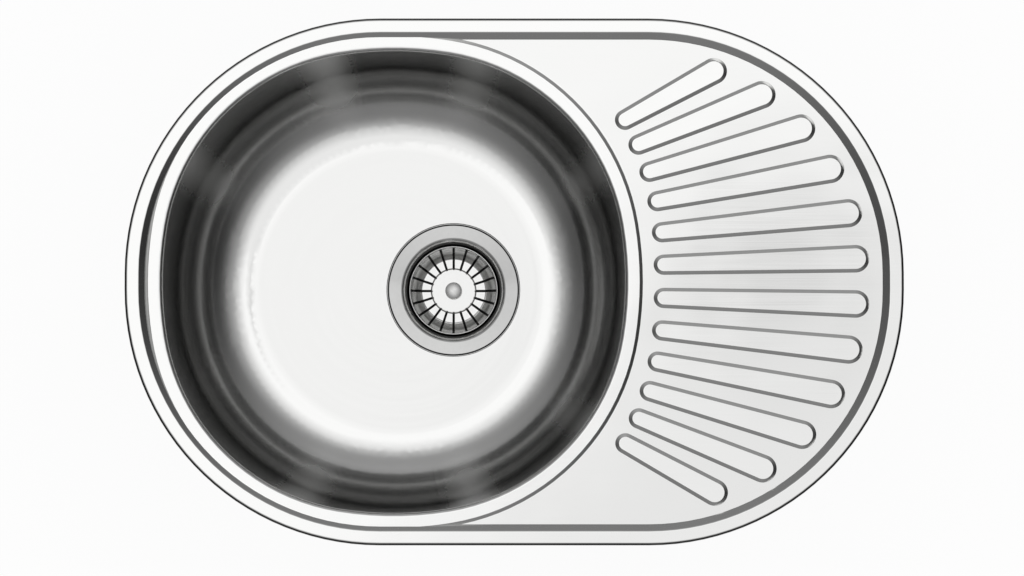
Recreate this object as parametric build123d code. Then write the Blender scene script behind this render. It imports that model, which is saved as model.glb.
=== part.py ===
from build123d import *
import os
from math import acos, asin, atan2, cos, degrees, hypot, radians, sin, sqrt, tan

# Inset kitchen sink: a pressed stainless drainboard with a welded bowl, a basket strainer in
# the bowl's floor and turn-out clamps under the rim that hold it in a worktop cut-out.
#
# Millimetres. X runs from the bowl to the drainboard, Y to the rear, Z up.
# The origin is the middle of the outline, on the worktop's top face, under the rim.

os.makedirs("parts", exist_ok=True)

# ---------------------------------------------------------------- driving sizes: deck
LENGTH = 650.0
WIDTH = 440.0
OUTLINE_CORNER_R = 213.0    # the two ends are nearly half rounds
SHEET = 0.8
RIM_HEIGHT = 3.0            # top of the rim above the worktop
RIM_WIDTH = 11.8            # flat band round the edge
RIM_EDGE_R = 2.8            # rolled outer edge
BOARD_DROP = 5.0            # drainboard below the rim
LEDGE_DROP = 3.4            # ledge round the bowl below the rim
RIM_SLOPE = 49.0            # wall of the rim's step, from upright
LEDGE_WIDTH = 12.0          # bowl wall to the top of the ledge's own step
LEDGE_SLOPE = 60.0          # wall of the ledge's step, from upright
STEP_EDGE_R = 1.6           # round on the top of the rim's step

# ---------------------------------------------------------------- driving sizes: ribs
RIBS_A_SIDE = 6
RIB_HEIGHT = 2.2
RIB_SLOPE = 54.0            # border of a rib, from upright
RIB_END_R = 8.5             # at the deck, the end beside the bowl
RIB_FLARE = 0.018           # growth of that radius per mm of the middle rib
RIB_FLARE_STEP = 0.0022     # and how much more on each rib further out
RIB_PITCH = 0.145           # between the middle ribs' ends, as a share of the bowl's half width
RIB_PITCH_CLOSING = 0.002   # and how it closes towards the outer ribs
RIB_START = 32.1            # bowl wall to the centre of a rib's end
RIB_START_STEP = 0.9        # and how much further out on each rib
RIB_STOP = 40.2             # outline to the centre of a rib's far end
RIB_STOP_STEP = -0.9
RIB_FAN = 3.4               # degrees that each rib turns from the one before it
RIB_FAN_OPENING = 0.335     # and how that grows towards the outer ribs

# ---------------------------------------------------------------- driving sizes: bowl
BOWL_MARGIN = 26.9          # outline to the bowl's wall, front and rear
BOWL_END_MARGIN = 31.4      # and at the left end
BOWL_CORNER_R = 173.5
BOWL_SIDE_R = 285.5         # the four sides bow outwards
BOWL_EDGE_R = 3.5           # ledge rolling over into the bowl
WELD_DEPTH = 5.0            # ledge down to the welded seam
BOWL_DEPTH = 170.0          # rim to floor
BOWL_DRAFT = 2.0
BOWL_FLOOR_R = 64.0
PAD_THICKNESS = 2.5         # sound-deadening pad under the floor
PAD_EDGE_GAP = 10.0         # flat floor left bare round the pad

# ---------------------------------------------------------------- driving sizes: waste
DRAIN_OFFSET = 47.5         # from the bowl's middle towards the drainboard
CUP_R = 41.9                # inside the strainer's cup, above its step
CUP_STEP = 1.5              # narrow step round the cup
CUP_STEP_DEPTH = 9.0        # bowl floor to step
CUP_LEAN = 0.6              # how much narrower the cup is at its floor than under the step
CUP_DEPTH = 36.0            # bowl floor to cup floor
CUP_LIP_R = 5.0
CUP_STEP_R = 0.4            # in the step's inner corner
CUP_STEP_EDGE_R = 0.9       # and over its edge
CUP_CORNER_R = 4.0
CUP_HOLES = 8
CUP_HOLE_R = 5.5
CUP_HOLE_RING_R = 19.0
DIMPLE_R = 9.5              # holds the head of the strainer's screw
DIMPLE_LEAN = 1.5
DIMPLE_LIP_R = 1.2
DIMPLE_CORNER_R = 0.8
SEAT_WIDTH = 9.6            # drain hole to the edge of the strainer's flange
RECESS_MARGIN = 2.3         # and on to the edge of the recess
RECESS_WALL = 1.8           # how deep the recess drops at its edge
RECESS_LEAN = 0.5           # and how far that wall leans in
RECESS_CONE = 12.0          # fall of the seat towards the hole
FLANGE_SEAL = 0.5
GASKET_THICKNESS = 4.7      # at the drain hole
BODY_FLANGE = 4.0
BODY_WALL = 3.1
BODY_CORNER_R = 6.0
SHOULDER_FALL = 8.0         # from the pot's lower corner to the spigot
SPIGOT_R = 23.9             # 1 1/2 inch pipe thread, over the crests
SPIGOT_LENGTH = 24.0
SPIGOT_CORNER_R = 4.0
BOSS_R = 8.5                # takes the strainer's screw, on arms across the body
BOSS_FLOOR = 1.5
SPIDER_ARMS = 4
SPIDER_ARM = 3.0
SPIDER_ARM_DEPTH = 9.0
SCREW_R = 3.0               # M6
SCREW_LENGTH = 10.0
SCREW_HEAD_R = 5.5
SCREW_HEAD = 3.1
INSERT_R = 5.5
INSERT_LENGTH = 9.5
INSERT_ROOM = 1.0           # socket beyond the insert or the screw, whichever is longer

# ---------------------------------------------------------------- driving sizes: basket
BASKET_SHEET = 0.6
BASKET_RIM_DEPTH = 9.5      # bowl floor down to the basket's rim
BASKET_BEAD_R = 0.6         # rolled edge
BASKET_NECK_LEAN = 0.4      # how much the neck narrows down to the cone
BASKET_NECK_DEPTH = 5.0     # rim down to where the cone begins
BASKET_CONE_RUN = 9.6       # and how much the cone narrows down to the floor
BASKET_DEPTH = 14.0         # rim to basket floor
BASKET_BEND_R = 1.2
BASKET_CORNER_R = 1.5
BASKET_SLOTS = 20
SLOT_WIDTH = 2.1
SLOT_MARGIN = 0.2           # slots' outer ends short of the neck
DISC_R = 19.0
DISC_MARGIN = 0.7           # and their inner ends clear of the disc
DISC_THICKNESS = 1.2
KNOB_R = 7.3
KNOB_NECK_R = 4.2
KNOB_HEIGHT = 10.0
KNOB_HEAD = 4.0             # height of its head
KNOB_DOME = 1.5             # rise of its domed top
KNOB_ROUND_R = 0.8
STEM_R = 2.5
SPACER_R = 5.0
STOPPER_COVER = 10.5        # how far the stopper reaches past the cup's holes
STOPPER_THICKNESS = 4.0
STOPPER_LIP = 5.0           # width of the sealing lip
STOPPER_HOLLOW = 2.0        # depth inside the lip
STEM_NUT_FLATS = 8.0
STEM_NUT_HEIGHT = 2.4

# ---------------------------------------------------------------- driving sizes: clamps
CLAMP_PITCH = 175.0         # between the two clamps of the front and of the rear
LUG_WIDTH = 6.5
LUG_SHEET = 1.2
LUG_HEIGHT = 30.0
LUG_FOOT = 6.0              # foot welded to the deck, beyond each leg
CLAMP_SCREW_R = 2.0         # M4
CLAMP_NUT_FLATS = 6.9
CLAMP_NUT_HEIGHT = 3.2
CLAMP_HEAD_FLATS = 7.0
CLAMP_HEAD = 2.8
CLAMP_TIP_SPARE = 1.0       # screw end above its nut, fully let down
CLAMP_TRAVEL = 16.0
WASHER_R = 4.4
WASHER = 0.8
CLAW_WIDTH = 9.0
CLAW_SHEET = 1.5
CLAW_KNEE = 9.4             # axis to the riser
CLAW_RISE = 10.0
CLAW_REACH = 18.0           # axis to the teeth
CLAW_TOOTH = 2.2
CLAW_BEND_R = 1.5

# ---------------------------------------------------------------- driving sizes: small pieces
SEAL_WIDTH = 7.0
EARTH_TAG_WIDTH = 12.0
EARTH_TAG_LENGTH = 16.0
EARTH_TAG_HOLE_R = 2.2
EARTH_TAG_FROM_BOWL = 140.0 # along X from the bowl's middle
EARTH_TAG_INSET = 42.0      # from the rear edge

# ---------------------------------------------------------------- named clearances
CUP_GAP = 3.9               # cup to the edge of the drain hole, beside the roll of its lip
BODY_GAP = 4.0              # cup to the waste body
BASKET_GAP = 2.1            # radial, cup under its step to the middle of the basket's rolled edge
BOSS_GAP = 5.2              # boss down to the pot's lower corner
NUT_GAP = 1.2               # nut's corners to the lug's legs
SHAFT_GAP = 0.05            # radial, a screw in its nut, washer or claw
CLEAR_GAP = 0.4             # radial, a screw through a hole that it must not touch
SEAL_GAP = 0.4              # seal to the roll of the rim
CLAW_GAP = 0.5              # claw to lug, fully drawn up
SKIRT_GAP = 0.6             # seals to the edges of the drain hole and the recess
MOULDED_GAP = 0.02          # radial, insert in its boss and pieces threaded on the stem
HEAD_GAP = 0.5              # stem's end above the head of the strainer's screw

# ---------------------------------------------------------------- levels and places
rim_z = RIM_HEIGHT
ledge_z = rim_z - LEDGE_DROP
board_z = rim_z - BOARD_DROP
weld_z = ledge_z - WELD_DEPTH
floor_z = rim_z - BOWL_DEPTH
block_z = floor_z - 10      # any level well below the deck

outline_r = min(OUTLINE_CORNER_R, WIDTH / 2 - 1)
bowl_half = WIDTH / 2 - BOWL_MARGIN
bowl_x = -LENGTH / 2 + BOWL_END_MARGIN + bowl_half
bowl_corner_r = min(BOWL_CORNER_R, 0.9 * bowl_half)
bowl_base_r = bowl_half - (weld_z - floor_z) * tan(radians(BOWL_DRAFT))
drain_x = bowl_x + DRAIN_OFFSET
drain_hole_r = CUP_R + SHEET + CUP_GAP
flange_r = drain_hole_r + SEAT_WIDTH
recess_r = flange_r + RECESS_MARGIN


# ---------------------------------------------------------------- outlines
def outline(inset):
    """The deck's outline, drawn in by an inset."""
    return RectangleRounded(LENGTH - 2 * inset, WIDTH - 2 * inset, outline_r - inset)


def bowl_arcs(grow):
    """Centres and radii of the bowl's side and corner arcs, and the angle where they meet."""
    side_r = BOWL_SIDE_R + grow
    corner_r = bowl_corner_r + grow
    side_c = bowl_half - BOWL_SIDE_R
    apart = side_r - corner_r
    corner_c = (side_c + sqrt(2 * apart**2 - side_c**2)) / 2
    meet = degrees(atan2(corner_c, corner_c - side_c))
    return side_c, side_r, corner_c, corner_r, meet


def bowl_outline(grow=0.0):
    """The bowl's mouth: a square with bowed sides, four corner arcs tangent to four side arcs."""
    side_c, side_r, corner_c, corner_r, meet = bowl_arcs(grow)
    arcs = []
    for turn in range(0, 360, 90):
        corner = Vector(corner_c, corner_c).rotate(Axis.Z, turn)
        side = Vector(0, side_c).rotate(Axis.Z, turn)
        arcs.append(CenterArc(corner, corner_r, turn + meet, 90 - 2 * meet))
        arcs.append(CenterArc(side, side_r, turn + 90 - meet, 2 * meet))
    return Pos(bowl_x, 0) * make_face(arcs)


def beside_bowl(along, grow):
    """The point at a distance along the bowl's outline, grown, from its right-hand middle."""
    side_c, side_r, corner_c, corner_r, meet = bowl_arcs(grow)
    side_run = side_r * radians(meet)
    if along <= side_run:
        angle = along / side_r
        return Vector(bowl_x + side_c + side_r * cos(angle), side_r * sin(angle))
    angle = radians(meet) + (along - side_run) / corner_r
    return Vector(bowl_x + corner_c + corner_r * cos(angle), corner_c + corner_r * sin(angle))


def reach_outline(start, angle, inset):
    """How far a ray from a point runs before it meets the outline, drawn in."""
    ray = Line(start, start + Vector(cos(angle), sin(angle)) * LENGTH)
    return (ray & outline(inset)).length


# ---------------------------------------------------------------- shared shapes
def slope_run(height, slope):
    """How far a wall leaning from upright runs sideways over a height."""
    return height * tan(radians(slope))


def turned(points):
    """A solid turned round the drain's axis from its half section, as radius and level."""
    return Pos(drain_x, 0) * revolve(Plane.XZ * make_face(Polyline(*points, close=True)), Axis.Z)


def pressed(points, radii, thickness):
    """A sheet turned round the drain's axis. The line is its wet face, drawn inwards or downwards."""
    line = FilletPolyline(*points, radius=radii)
    section = make_face(offset(line, thickness, side=Side.LEFT).edges())
    return Pos(drain_x, 0) * revolve(Plane.XZ * section, Axis.Z)


def bent_strip(points, radius, width, thickness):
    """A strip bent along a line in the XZ plane, its width along Y."""
    line = FilletPolyline(*[(x, 0, z) for x, z in points], radius=radius)
    section = Plane(line @ 0, x_dir=(0, 1, 0), z_dir=line % 0) * Rectangle(width, thickness)
    return sweep(section, line)


def drilled_prism(sketch, low, high, bore_r):
    """A sketch raised from one level to another, with a round bore on the Z axis."""
    return Pos(0, 0, low) * extrude(sketch - Circle(bore_r), high - low)


def hexagon(flats):
    return RegularPolygon(flats / 2, 6, major_radius=False)


# ---------------------------------------------------------------- deck
def rib(number):
    """One tapered rib of the rear half, from the deck to its flat top."""
    along = bowl_half * (RIB_PITCH * number - RIB_PITCH_CLOSING * number**2)
    start = beside_bowl(along, RIB_START + RIB_START_STEP * number)
    angle = radians(RIB_FAN * number + RIB_FAN_OPENING * number**2)
    length = reach_outline(start, angle, RIB_STOP + RIB_STOP_STEP * number)
    end_r = RIB_END_R + length * (RIB_FLARE + RIB_FLARE_STEP * number)
    lean = asin((end_r - RIB_END_R) / length)
    near = Vector(-RIB_END_R * sin(lean), RIB_END_R * cos(lean))
    far = Vector(length - end_r * sin(lean), end_r * cos(lean))
    edges = [
        Line((near.X, -near.Y), (far.X, -far.Y)),
        ThreePointArc((far.X, -far.Y), (length + end_r, 0), far),
        Line(far, near),
        ThreePointArc(near, (-RIB_END_R, 0), (near.X, -near.Y)),
    ]
    place = Pos(start.X, start.Y) * Rot(0, 0, degrees(angle))
    return extrude(place * make_face(edges), RIB_HEIGHT, taper=RIB_SLOPE)


def on_bowl_wall(point, grow):
    """Whether a point stands on the bowl's outline, grown."""
    side_c, side_r, corner_c, corner_r, meet = bowl_arcs(grow)
    x, y = sorted((abs(point.X - bowl_x), abs(point.Y)))
    on_corner = abs(hypot(x - corner_c, y - corner_c) - corner_r) < 1e-3
    return on_corner or abs(hypot(x, y - side_c) - side_r) < 1e-3


def below_skin(drop):
    """All that lies under the deck's wet face, or under its dry face when drop is the sheet.

    Levels fall by the drop and upright walls move in by it.
    """
    block = Pos(0, 0, block_z) * extrude(outline(drop), rim_z - drop - block_z)
    block = fillet(block.faces().sort_by(Axis.Z)[-1].edges(), RIM_EDGE_R - drop)
    recess = Pos(0, 0, rim_z - drop) * outline(RIM_WIDTH)
    block -= extrude(recess, -BOARD_DROP, taper=RIM_SLOPE)
    rim_top = block.faces().sort_by(Axis.Z)[-1]
    block = fillet(rim_top.inner_wires()[0].edges(), STEP_EDGE_R - drop)

    board = Pos(0, 0, board_z - drop)
    lift = BOARD_DROP - LEDGE_DROP
    base = LEDGE_WIDTH + slope_run(lift, LEDGE_SLOPE)
    block += extrude(board * bowl_outline(base), lift, taper=LEDGE_SLOPE)
    for number in range(RIBS_A_SIDE):
        one = board * rib(number + 0.5)
        block += [one, mirror(one, Plane.XZ)]

    block -= Pos(0, 0, block_z) * extrude(bowl_outline(drop), rim_z - block_z)
    level = ledge_z - drop
    mouth = [e for e in block.edges() if abs((e @ 0.5).Z - level) < 1e-3]
    return fillet([e for e in mouth if on_bowl_wall(e @ 0.5, drop)], BOWL_EDGE_R - drop)


def make_deck():
    """The pressed sheet: turned-down edge, rim, steps, ledge, ribs and the bowl's flange."""
    sheet = below_skin(0) - below_skin(SHEET)
    under = Pos(0, 0, block_z) * extrude(outline(-1), weld_z - block_z)
    round_edge = Pos(0, 0, block_z) * extrude(outline(-1) - outline(SHEET), -block_z)
    return sheet - under - round_edge


def make_rim_seal():
    """The foam strip under the rim, squeezed down to the worktop."""
    inset = RIM_EDGE_R + SEAL_GAP
    return extrude(outline(inset) - outline(inset + SEAL_WIDTH), rim_z - SHEET)


def make_earth_tag():
    """The bonding tag welded under the deck, bent down and drilled for the wire's screw."""
    foot = EARTH_TAG_LENGTH / 2
    line = ((-foot, 0), (0, 0), (foot * 0.8, -foot * 0.8))
    strip = bent_strip(line, 2 * SHEET, EARTH_TAG_WIDTH, SHEET)
    drill = Pos(foot * 0.5, 0, -foot * 0.5) * Rot(0, 45, 0) * Cylinder(EARTH_TAG_HOLE_R, 4 * SHEET)
    place = Pos(bowl_x + EARTH_TAG_FROM_BOWL, WIDTH / 2 - EARTH_TAG_INSET, board_z - 1.5 * SHEET)
    return place * (strip - drill)


# ---------------------------------------------------------------- bowl
def round_base(grow):
    """The circle that the bowl narrows to at its floor, in arcs that meet where the mouth's do."""
    meet = bowl_arcs(grow)[4]
    arcs = []
    for turn in range(0, 360, 90):
        arcs.append(CenterArc((0, 0), bowl_base_r + grow, turn + meet, 90 - 2 * meet))
        arcs.append(CenterArc((0, 0), bowl_base_r + grow, turn + 90 - meet, 2 * meet))
    return Pos(bowl_x, 0) * make_face(arcs)


def bowl_block(grow):
    """The bowl's inside as a solid, or with the sheet round it when grown.

    Its walls run straight down from the bowed mouth to a round floor.
    """
    mouth = Pos(0, 0, weld_z) * bowl_outline(grow)
    base = Pos(0, 0, floor_z - grow) * round_base(grow)
    block = loft([mouth, base], ruled=True)
    return fillet(block.faces().sort_by(Axis.Z)[0].edges(), BOWL_FLOOR_R + grow)


seat_edge_r = recess_r - RECESS_LEAN
cone_sheet = SHEET / cos(radians(RECESS_CONE))   # the sheet measured upright on the cone


def seat_z(radius):
    """Level of the recess's conical seat."""
    return floor_z - RECESS_WALL - (seat_edge_r - radius) * tan(radians(RECESS_CONE))


def make_bowl():
    """The deep-drawn bowl, with its drain recess pressed down round the hole."""
    out = SHEET * 0.75
    skin = turned([
        (0, floor_z - SHEET),
        (recess_r + out, floor_z - SHEET),
        (seat_edge_r + out, seat_z(seat_edge_r + out) - cone_sheet),
        (drain_hole_r, seat_z(drain_hole_r) - cone_sheet),
        (0, seat_z(drain_hole_r) - cone_sheet),
    ])
    void = turned([
        (0, floor_z),
        (recess_r, floor_z),
        (seat_edge_r, floor_z - RECESS_WALL),
        (drain_hole_r, seat_z(drain_hole_r)),
        (drain_hole_r, floor_z - CUP_DEPTH),
        (0, floor_z - CUP_DEPTH),
    ])
    return bowl_block(SHEET) - bowl_block(0) + skin - void


def make_sound_pad():
    """The damping pad stuck under the flat of the floor, cut away round the drain."""
    round_run = BOWL_FLOOR_R * tan(radians(45 - BOWL_DRAFT / 2))
    shape = Pos(bowl_x, 0) * Circle(bowl_base_r - round_run - PAD_EDGE_GAP)
    shape -= Pos(drain_x, 0) * Circle(recess_r + SHEET + PAD_EDGE_GAP / 2)
    return Pos(0, 0, floor_z - SHEET) * extrude(shape, -PAD_THICKNESS)


# ---------------------------------------------------------------- waste
nut_below_seat = STEM_NUT_HEIGHT - STOPPER_HOLLOW
socket_length = max(INSERT_LENGTH, SCREW_LENGTH - SHEET) + INSERT_ROOM
boss_length = socket_length + BOSS_FLOOR
cup_z = floor_z - CUP_DEPTH
cup_low_r = CUP_R - CUP_STEP
step_z = floor_z - CUP_STEP_DEPTH
dimple_z = cup_z - SCREW_HEAD - HEAD_GAP - nut_below_seat
boss_z = dimple_z - SHEET
gasket_z = seat_z(drain_hole_r) - cone_sheet - GASKET_THICKNESS
shoulder_z = boss_z - boss_length - BOSS_GAP
spigot_z = shoulder_z - SHOULDER_FALL - SPIGOT_LENGTH
seal_inner_r = drain_hole_r + SKIRT_GAP


def flange_z(radius):
    """Level of the wet face of the strainer's flange."""
    return seat_z(radius) + FLANGE_SEAL + cone_sheet


def make_strainer_cup():
    """Flange, stepped cup and dimpled floor pressed in one, with the floor's ring of holes."""
    line = [
        (flange_r, flange_z(flange_r)),
        (CUP_R, flange_z(CUP_R)),
        (CUP_R, step_z),
        (cup_low_r, step_z),
        (cup_low_r - CUP_LEAN, cup_z),
        (DIMPLE_R, cup_z),
        (DIMPLE_R - DIMPLE_LEAN, dimple_z),
        (SCREW_R + CLEAR_GAP, dimple_z),
    ]
    radii = [CUP_LIP_R, CUP_STEP_R, CUP_STEP_EDGE_R, CUP_CORNER_R, DIMPLE_LIP_R, DIMPLE_CORNER_R]
    cup = pressed(line, radii, SHEET)
    drill = Cylinder(CUP_HOLE_R, 4 * SHEET)
    ring = PolarLocations(CUP_HOLE_RING_R, CUP_HOLES)
    return cup - [Pos(drain_x, 0, cup_z) * place * drill for place in ring]


def make_flange_seal():
    """The ring between the flange and the bowl's seat, standing out a little round the flange."""
    outer_r = seat_edge_r - SKIRT_GAP
    return turned([
        (seal_inner_r, seat_z(seal_inner_r)),
        (outer_r, seat_z(outer_r)),
        (outer_r, seat_z(outer_r) + FLANGE_SEAL),
        (seal_inner_r, seat_z(seal_inner_r) + FLANGE_SEAL),
    ])


def make_body_gasket():
    """The thick ring between the bowl's underside and the waste body."""
    return turned([
        (seal_inner_r, seat_z(seal_inner_r) - cone_sheet),
        (flange_r, seat_z(flange_r) - cone_sheet),
        (flange_r, gasket_z),
        (seal_inner_r, gasket_z),
    ])


def make_waste_body():
    """The moulded body: flange, pot, shoulder and spigot, with a boss on arms across it."""
    inside_r = CUP_R + SHEET + BODY_GAP
    middle_r = inside_r + BODY_WALL / 2
    spigot_inside_r = SPIGOT_R - BODY_WALL
    line = [
        (inside_r, gasket_z),
        (inside_r, shoulder_z),
        (spigot_inside_r, shoulder_z - SHOULDER_FALL),
        (spigot_inside_r, spigot_z),
    ]
    pot = pressed(line, [BODY_CORNER_R, SPIGOT_CORNER_R], BODY_WALL)
    pot += turned([
        (middle_r, gasket_z),
        (flange_r, gasket_z),
        (flange_r, gasket_z - BODY_FLANGE),
        (inside_r + BODY_WALL, gasket_z - 1.5 * BODY_FLANGE),
        (middle_r, gasket_z - 1.5 * BODY_FLANGE),
    ])
    boss_low_z = boss_z - boss_length
    run = middle_r - BOSS_R / 2
    arm_z = boss_low_z + SPIDER_ARM_DEPTH / 2
    arm = Pos(BOSS_R / 2 + run / 2, 0, arm_z) * Box(run, SPIDER_ARM, SPIDER_ARM_DEPTH)
    spider = Pos(0, 0, (boss_z + boss_low_z) / 2) * Cylinder(BOSS_R, boss_length)
    for turn in range(SPIDER_ARMS):
        spider += Rot(0, 0, 45 + 360 / SPIDER_ARMS * turn) * arm
    spider -= Pos(0, 0, boss_z - socket_length / 2) * Cylinder(INSERT_R + MOULDED_GAP, socket_length)
    return pot + Pos(drain_x, 0) * spider


def make_thread_insert():
    """The brass insert moulded in the boss, tapped for the strainer's screw."""
    bore_r = SCREW_R + SHAFT_GAP
    ring = Circle(INSERT_R)
    return Pos(drain_x, 0) * drilled_prism(ring, boss_z - INSERT_LENGTH, boss_z, bore_r)


def make_strainer_screw():
    """The screw that draws the cup and the waste body together through the bowl's floor."""
    return turned([
        (0, dimple_z - SCREW_LENGTH),
        (SCREW_R, dimple_z - SCREW_LENGTH),
        (SCREW_R, dimple_z),
        (SCREW_HEAD_R, dimple_z),
        (SCREW_HEAD_R - 0.8, dimple_z + SCREW_HEAD),
        (0, dimple_z + SCREW_HEAD),
    ])


# ---------------------------------------------------------------- basket
basket_rim_r = cup_low_r - BASKET_GAP
neck_r = basket_rim_r - BASKET_SHEET / 2
waist_r = neck_r - BASKET_NECK_LEAN
basket_rim_z = floor_z - BASKET_RIM_DEPTH
basket_z = basket_rim_z - BASKET_DEPTH
disc_z = basket_z + DISC_THICKNESS
stopper_z = cup_z + STOPPER_THICKNESS
hollow_z = cup_z + STOPPER_HOLLOW
stem_low_z = dimple_z + SCREW_HEAD + HEAD_GAP
stem_high_z = disc_z + KNOB_HEIGHT / 2
stem_hole_r = STEM_R + MOULDED_GAP


def make_basket():
    """The slotted strainer basket: rolled edge, upright neck, slotted cone and floor."""
    line = [
        (neck_r, basket_rim_z - BASKET_BEAD_R),
        (waist_r, basket_rim_z - BASKET_NECK_DEPTH),
        (waist_r - BASKET_CONE_RUN, basket_z),
        (stem_hole_r, basket_z),
    ]
    basket = pressed(line, [BASKET_BEND_R, BASKET_CORNER_R], BASKET_SHEET)
    basket += Pos(drain_x, 0, basket_rim_z - BASKET_BEAD_R) * Torus(basket_rim_r, BASKET_BEAD_R)
    slot_inner_r = DISC_R + DISC_MARGIN
    slot_outer_r = waist_r - SLOT_MARGIN
    cutter = Box(slot_outer_r - slot_inner_r, SLOT_WIDTH, 2 * BASKET_DEPTH)
    ring = PolarLocations((slot_inner_r + slot_outer_r) / 2, BASKET_SLOTS)
    return basket - [Pos(drain_x, 0, basket_z) * place * cutter for place in ring]


def make_basket_disc():
    """The plain disc on the basket's floor, under the knob."""
    edge = DISC_THICKNESS / 2
    return turned([
        (stem_hole_r, basket_z),
        (DISC_R, basket_z),
        (DISC_R, disc_z - edge),
        (DISC_R - edge, disc_z),
        (stem_hole_r, disc_z),
    ])


def make_knob():
    """The lifting knob, its domed head over a waisted neck, with a blind hole for the stem."""
    top_z = disc_z + KNOB_HEIGHT
    knob = turned([
        (0, disc_z),
        (KNOB_NECK_R, disc_z),
        (KNOB_NECK_R - 0.6, disc_z + 0.35 * KNOB_HEIGHT),
        (KNOB_R, top_z - KNOB_HEAD),
        (KNOB_R, top_z),
        (0, top_z),
    ])
    dome_r = (KNOB_R**2 + KNOB_DOME**2) / (2 * KNOB_DOME)
    knob &= Pos(drain_x, 0, top_z - dome_r) * Sphere(dome_r)
    rims = [e for e in knob.edges().sort_by(Axis.Z) if e.is_closed]
    knob = fillet(rims[-1], KNOB_ROUND_R)
    depth = stem_high_z - disc_z
    return knob - Pos(drain_x, 0, disc_z + depth / 2) * Cylinder(stem_hole_r, depth)


def make_stem():
    """The stud from the knob down through basket, spacer and stopper."""
    length = stem_high_z - stem_low_z
    return Pos(drain_x, 0, stem_low_z + length / 2) * Cylinder(STEM_R, length)


def make_spacer():
    """The sleeve that holds the stopper below the basket."""
    ring = Circle(SPACER_R)
    return Pos(drain_x, 0) * drilled_prism(ring, stopper_z, basket_z - BASKET_SHEET, stem_hole_r)


def make_stopper():
    """The rubber stopper, hollow inside its sealing lip, seated over the cup's holes."""
    stopper_r = CUP_HOLE_RING_R + CUP_HOLE_R + STOPPER_COVER
    lip_r = stopper_r - STOPPER_LIP
    return turned([
        (stem_hole_r, hollow_z),
        (lip_r - 1, hollow_z),
        (lip_r, cup_z),
        (stopper_r, cup_z),
        (stopper_r - 1, stopper_z),
        (stem_hole_r, stopper_z),
    ])


def make_stem_nut():
    shape = hexagon(STEM_NUT_FLATS)
    return Pos(drain_x, 0) * drilled_prism(shape, hollow_z - STEM_NUT_HEIGHT, hollow_z, stem_hole_r)


# ---------------------------------------------------------------- clamps
# A clamp's own frame stands on its screw's axis at the deck's underside, with X pointing
# outwards. It is drawn fully let down, its claw turned in along the rim.
web_z = LUG_SHEET - LUG_HEIGHT
nut_top_z = web_z + CLAMP_NUT_HEIGHT
claw_top_z = -LUG_HEIGHT - CLAW_GAP - CLAMP_TRAVEL
washer_top_z = claw_top_z - CLAW_SHEET
head_top_z = washer_top_z - WASHER
running_r = CLAMP_SCREW_R + SHAFT_GAP
lug_gap = CLAMP_NUT_FLATS / cos(radians(30)) + 2 * NUT_GAP
clamp_inset = BOWL_MARGIN - BOWL_EDGE_R - LUG_WIDTH / 2
clamp_end_inset = BOWL_END_MARGIN - (LEDGE_WIDTH + BOWL_EDGE_R) / 2


def make_lug():
    """The hat-shaped lug welded under the deck, its web drilled for the screw."""
    leg = (lug_gap + LUG_SHEET) / 2
    top = -LUG_SHEET / 2
    low = LUG_SHEET / 2 - LUG_HEIGHT
    line = ((-leg - LUG_FOOT, top), (-leg, top), (-leg, low), (leg, low), (leg, top), (leg + LUG_FOOT, top))
    strip = bent_strip(line, LUG_SHEET, LUG_WIDTH, LUG_SHEET)
    hole = Pos(0, 0, low) * Cylinder(CLAMP_SCREW_R + CLEAR_GAP, 2 * LUG_SHEET)
    return Rot(0, 0, 90) * (strip - hole)


def make_clamp_nut():
    return drilled_prism(hexagon(CLAMP_NUT_FLATS), web_z, nut_top_z, running_r)


def make_washer():
    return drilled_prism(Circle(WASHER_R), head_top_z, washer_top_z, running_r)


def make_claw():
    """The Z-shaped claw that turns out under the worktop and bites with its edge."""
    level = washer_top_z + CLAW_SHEET / 2
    line = (
        (-CLAW_WIDTH / 2, level),
        (CLAW_KNEE, level),
        (CLAW_KNEE, level + CLAW_RISE),
        (CLAW_REACH - CLAW_SHEET / 2, level + CLAW_RISE),
        (CLAW_REACH - CLAW_SHEET / 2, level + CLAW_RISE + CLAW_TOOTH),
    )
    claw = bent_strip(line, CLAW_BEND_R, CLAW_WIDTH, CLAW_SHEET)
    back = claw.edges().filter_by(Axis.Z).sort_by(Axis.X)[:2]
    claw = fillet(back, CLAW_WIDTH * 0.45)
    claw -= Pos(0, 0, level) * Cylinder(running_r, 2 * CLAW_SHEET)
    notch = Pos(CLAW_REACH - CLAW_SHEET / 2, 0, level + CLAW_RISE + CLAW_TOOTH) * Rot(45, 0, 0)
    return Rot(0, 0, -90) * (claw - notch * Box(2 * CLAW_SHEET, 1.8, 1.8))


def make_clamp_screw():
    """Hexagon head below the washer, and the shank up through claw, web and nut."""
    tip_z = nut_top_z + CLAMP_TIP_SPARE
    head = Pos(0, 0, head_top_z - CLAMP_HEAD) * extrude(hexagon(CLAMP_HEAD_FLATS), CLAMP_HEAD)
    return head + Pos(0, 0, (head_top_z + tip_z) / 2) * Cylinder(CLAMP_SCREW_R, tip_z - head_top_z)


def clamp_place(x, skin_z):
    """A clamp's frame at the rear edge for a given X, on the deck's underside."""
    reach = x - (LENGTH / 2 - outline_r) * (1 if x > 0 else -1)
    if abs(x) <= LENGTH / 2 - outline_r:
        facing, edge = 90.0, Vector(x, WIDTH / 2)
    else:
        facing = degrees(acos(reach / outline_r))
        edge = Vector(x, WIDTH / 2 - outline_r + outline_r * sin(radians(facing)))
    out = Vector(cos(radians(facing)), sin(radians(facing)))
    spot = edge - out * clamp_inset
    return spot, facing, skin_z - SHEET


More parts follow.
